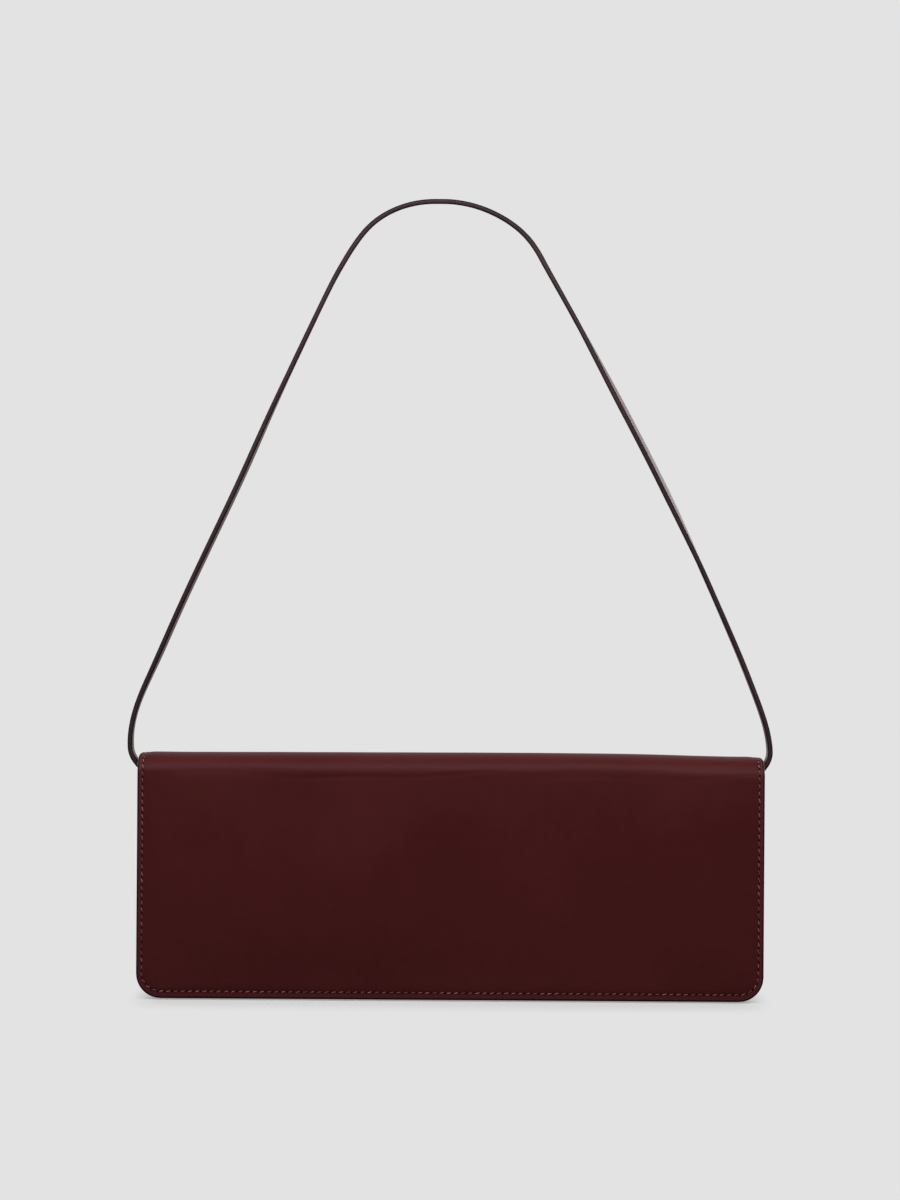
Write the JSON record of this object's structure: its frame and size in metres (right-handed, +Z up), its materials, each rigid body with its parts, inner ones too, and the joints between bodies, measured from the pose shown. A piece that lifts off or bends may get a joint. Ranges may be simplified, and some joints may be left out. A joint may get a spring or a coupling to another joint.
{
  "type": "clutch bag",
  "caption": "Slim leather flap clutch with a rolled top fold, a long flat strap handle riveted to its gusset and a hidden magnetic closing.",
  "frame": {"origin": "on the floor, under the middle of the closed bag's width and depth", "axes": "+Z up, +X along the bag's width, -Y towards the flap's face, so the back panel faces +Y"},
  "size_m": [0.3258, 0.032, 0.4037],
  "materials": {
    "outer_leather": "smooth semi-gloss calf, dark burgundy, with painted cut edges",
    "strap_leather": "smooth leather with dark painted edges",
    "lining_leather": "matt suede side out",
    "stiffener_board": "grey-brown fibre board, hidden between leather and lining",
    "gold_metal": "polished light gold",
    "magnet_steel": "plated, hidden"
  },
  "bodies": {
    "bag_body": {"back_leather": "outer_leather", "back_board": "stiffener_board", "back_lining": "lining_leather", "front_leather": "outer_leather", "front_board": "stiffener_board", "front_lining": "lining_leather", "front_magnet_left": "magnet_steel", "front_magnet_right": "magnet_steel", "gusset": "outer_leather", "gusset_lining": "lining_leather", "base_board": "stiffener_board", "slip_pocket": "lining_leather", "strap_rivet_left": "gold_metal", "strap_rivet_right": "gold_metal", "rivet_burr_left": "gold_metal", "rivet_burr_right": "gold_metal"},
    "top_fold": {"top_fold_leather": "outer_leather", "top_fold_lining": "lining_leather"},
    "flap": {"flap_leather": "outer_leather", "flap_board": "stiffener_board", "flap_lining": "lining_leather", "flap_magnet_left": "magnet_steel", "flap_magnet_right": "magnet_steel"},
    "strap": {"strap_outer": "strap_leather", "strap_inner": "strap_leather"}
  },
  "joints": [
    {"name": "top_fold_hinge", "type": "hinge", "parent": "bag_body", "child": "top_fold", "pos_m": [0, 0.016, 0.113], "axis": [-1, 0, 0], "range_deg": [0, 15]},
    {"name": "flap_hinge", "type": "hinge", "parent": "top_fold", "child": "flap", "pos_m": [0, -0.016, 0.113], "axis": [-1, 0, 0], "range_deg": [0, 165]},
    {"name": "strap_swing", "type": "hinge", "parent": "bag_body", "child": "strap", "pos_m": [0, 0.002, 0.107], "axis": [1, 0, 0], "range_deg": [-110, 110]}
  ]
}
